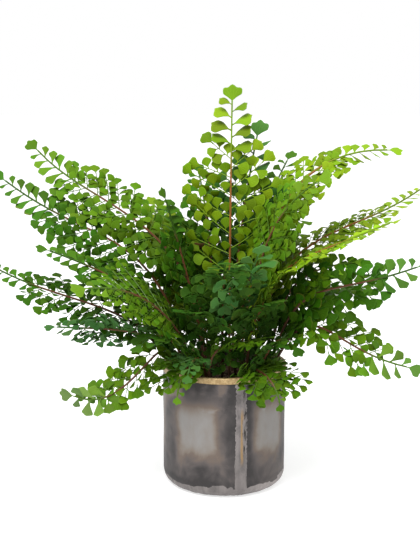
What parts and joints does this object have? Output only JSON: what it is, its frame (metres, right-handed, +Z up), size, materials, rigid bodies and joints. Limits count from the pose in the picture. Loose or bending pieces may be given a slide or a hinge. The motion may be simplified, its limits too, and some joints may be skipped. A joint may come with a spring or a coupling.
{
  "type": "potted maidenhair fern",
  "caption": "Maidenhair fern with arching lacy fronds, growing from dark soil in a round patinated metal pot with a brass edging strip and a solder seam.",
  "frame": {"origin": "on the pot's axis, at the surface the pot stands on", "axes": "+Z up; the pot's solder seam faces -Y and a little to +X; the fronds spread widest along X"},
  "size_m": [0.4448, 0.315, 0.3871],
  "materials": {
    "patinated_metal": "patinated sheet, satin, clouded grey with brown stains",
    "brass_edging": "dull, finely speckled",
    "soil": "rough, damp, crumbly soil",
    "frond_lime": "young frond, yellow green, satin",
    "frond_fresh": "mid green frond, satin",
    "frond_olive": "olive green frond, satin",
    "frond_deep": "dark green frond, satin",
    "frond_blue": "frond seen from its greyish blue-green side, matt"
  },
  "bodies": {
    "root": {"pot": "patinated_metal", "pot_rim": "brass_edging", "soil": "soil", "frond_crown": "frond_lime", "frond_crown_back": "frond_blue", "frond_right_high": "frond_lime", "frond_right_upper": "frond_fresh", "frond_right_olive": "frond_olive", "frond_right_lime": "frond_lime", "frond_right_small": "frond_fresh", "frond_right_deep": "frond_deep", "frond_right_low": "frond_fresh", "frond_right_dark": "frond_deep", "frond_rim_right": "frond_fresh", "frond_rim_left": "frond_fresh", "frond_left_low": "frond_fresh", "frond_left_low_blue": "frond_blue", "frond_left_mid": "frond_deep", "frond_left_front": "frond_fresh", "frond_left_high": "frond_fresh", "frond_left_far": "frond_deep", "frond_left_dark": "frond_deep", "frond_left_back": "frond_olive", "frond_left_inner": "frond_deep", "frond_back_left": "frond_deep", "frond_front_up": "frond_deep", "frond_front_blue": "frond_blue", "frond_front_left": "frond_deep", "frond_front_edge": "frond_fresh", "frond_front_down": "frond_blue", "frond_front_low_left": "frond_deep", "frond_front_low_right": "frond_deep", "frond_back_right": "frond_deep", "frond_back_far_left": "frond_fresh", "frond_back_far": "frond_deep", "frond_back_far_right": "frond_fresh", "frond_back_low_left": "frond_deep", "frond_back_low": "frond_fresh", "frond_back_low_right": "frond_deep", "frond_right_back_low": "frond_fresh"}
  },
  "joints": []
}
